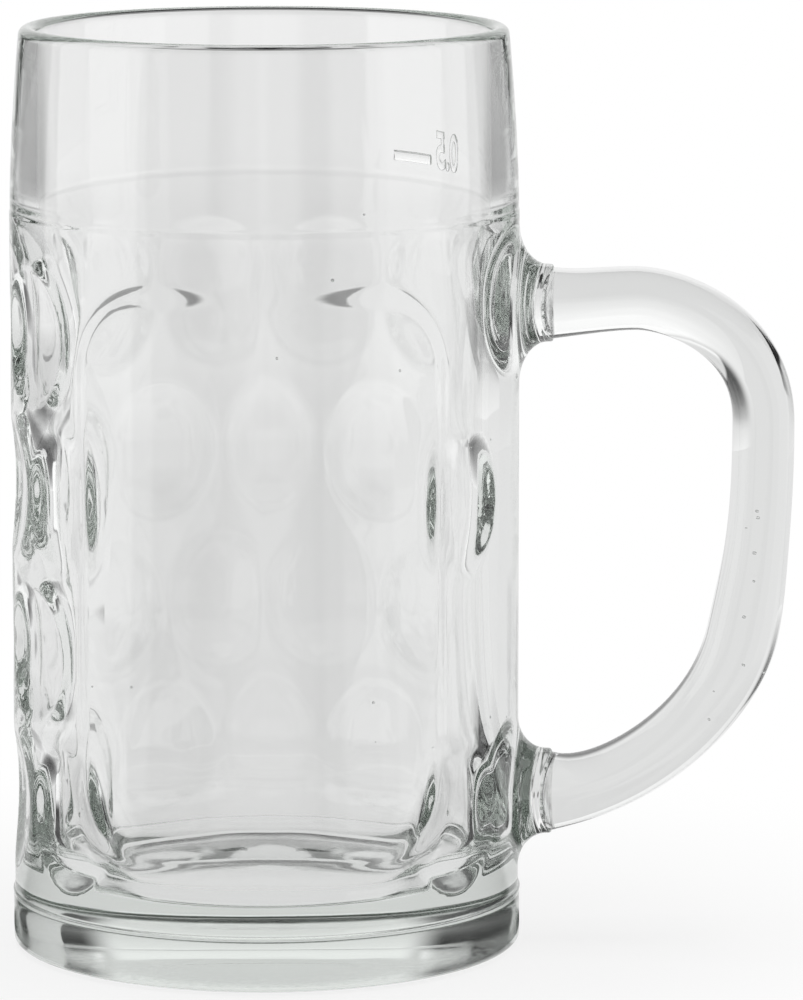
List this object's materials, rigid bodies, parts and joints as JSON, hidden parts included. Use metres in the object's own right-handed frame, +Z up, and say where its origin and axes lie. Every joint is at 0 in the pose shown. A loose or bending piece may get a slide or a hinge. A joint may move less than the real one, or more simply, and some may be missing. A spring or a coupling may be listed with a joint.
{
  "type": "beer mug",
  "caption": "Thick clear glass beer mug with a dimpled wall, a smooth front panel, a solid foot, a rounded lip and a bent glass bar handle.",
  "frame": {"origin": "centre of the flat underside, on the mug's upright axis", "axes": "+Z up along the mug's axis, +X towards the handle, -Y towards the smooth front panel"},
  "size_m": [0.1339, 0.0874, 0.1577],
  "materials": {
    "clear_glass": "smooth fire-polished clear soda-lime glass"
  },
  "bodies": {
    "root": {"mug_body": "clear_glass", "handle": "clear_glass"}
  },
  "joints": []
}
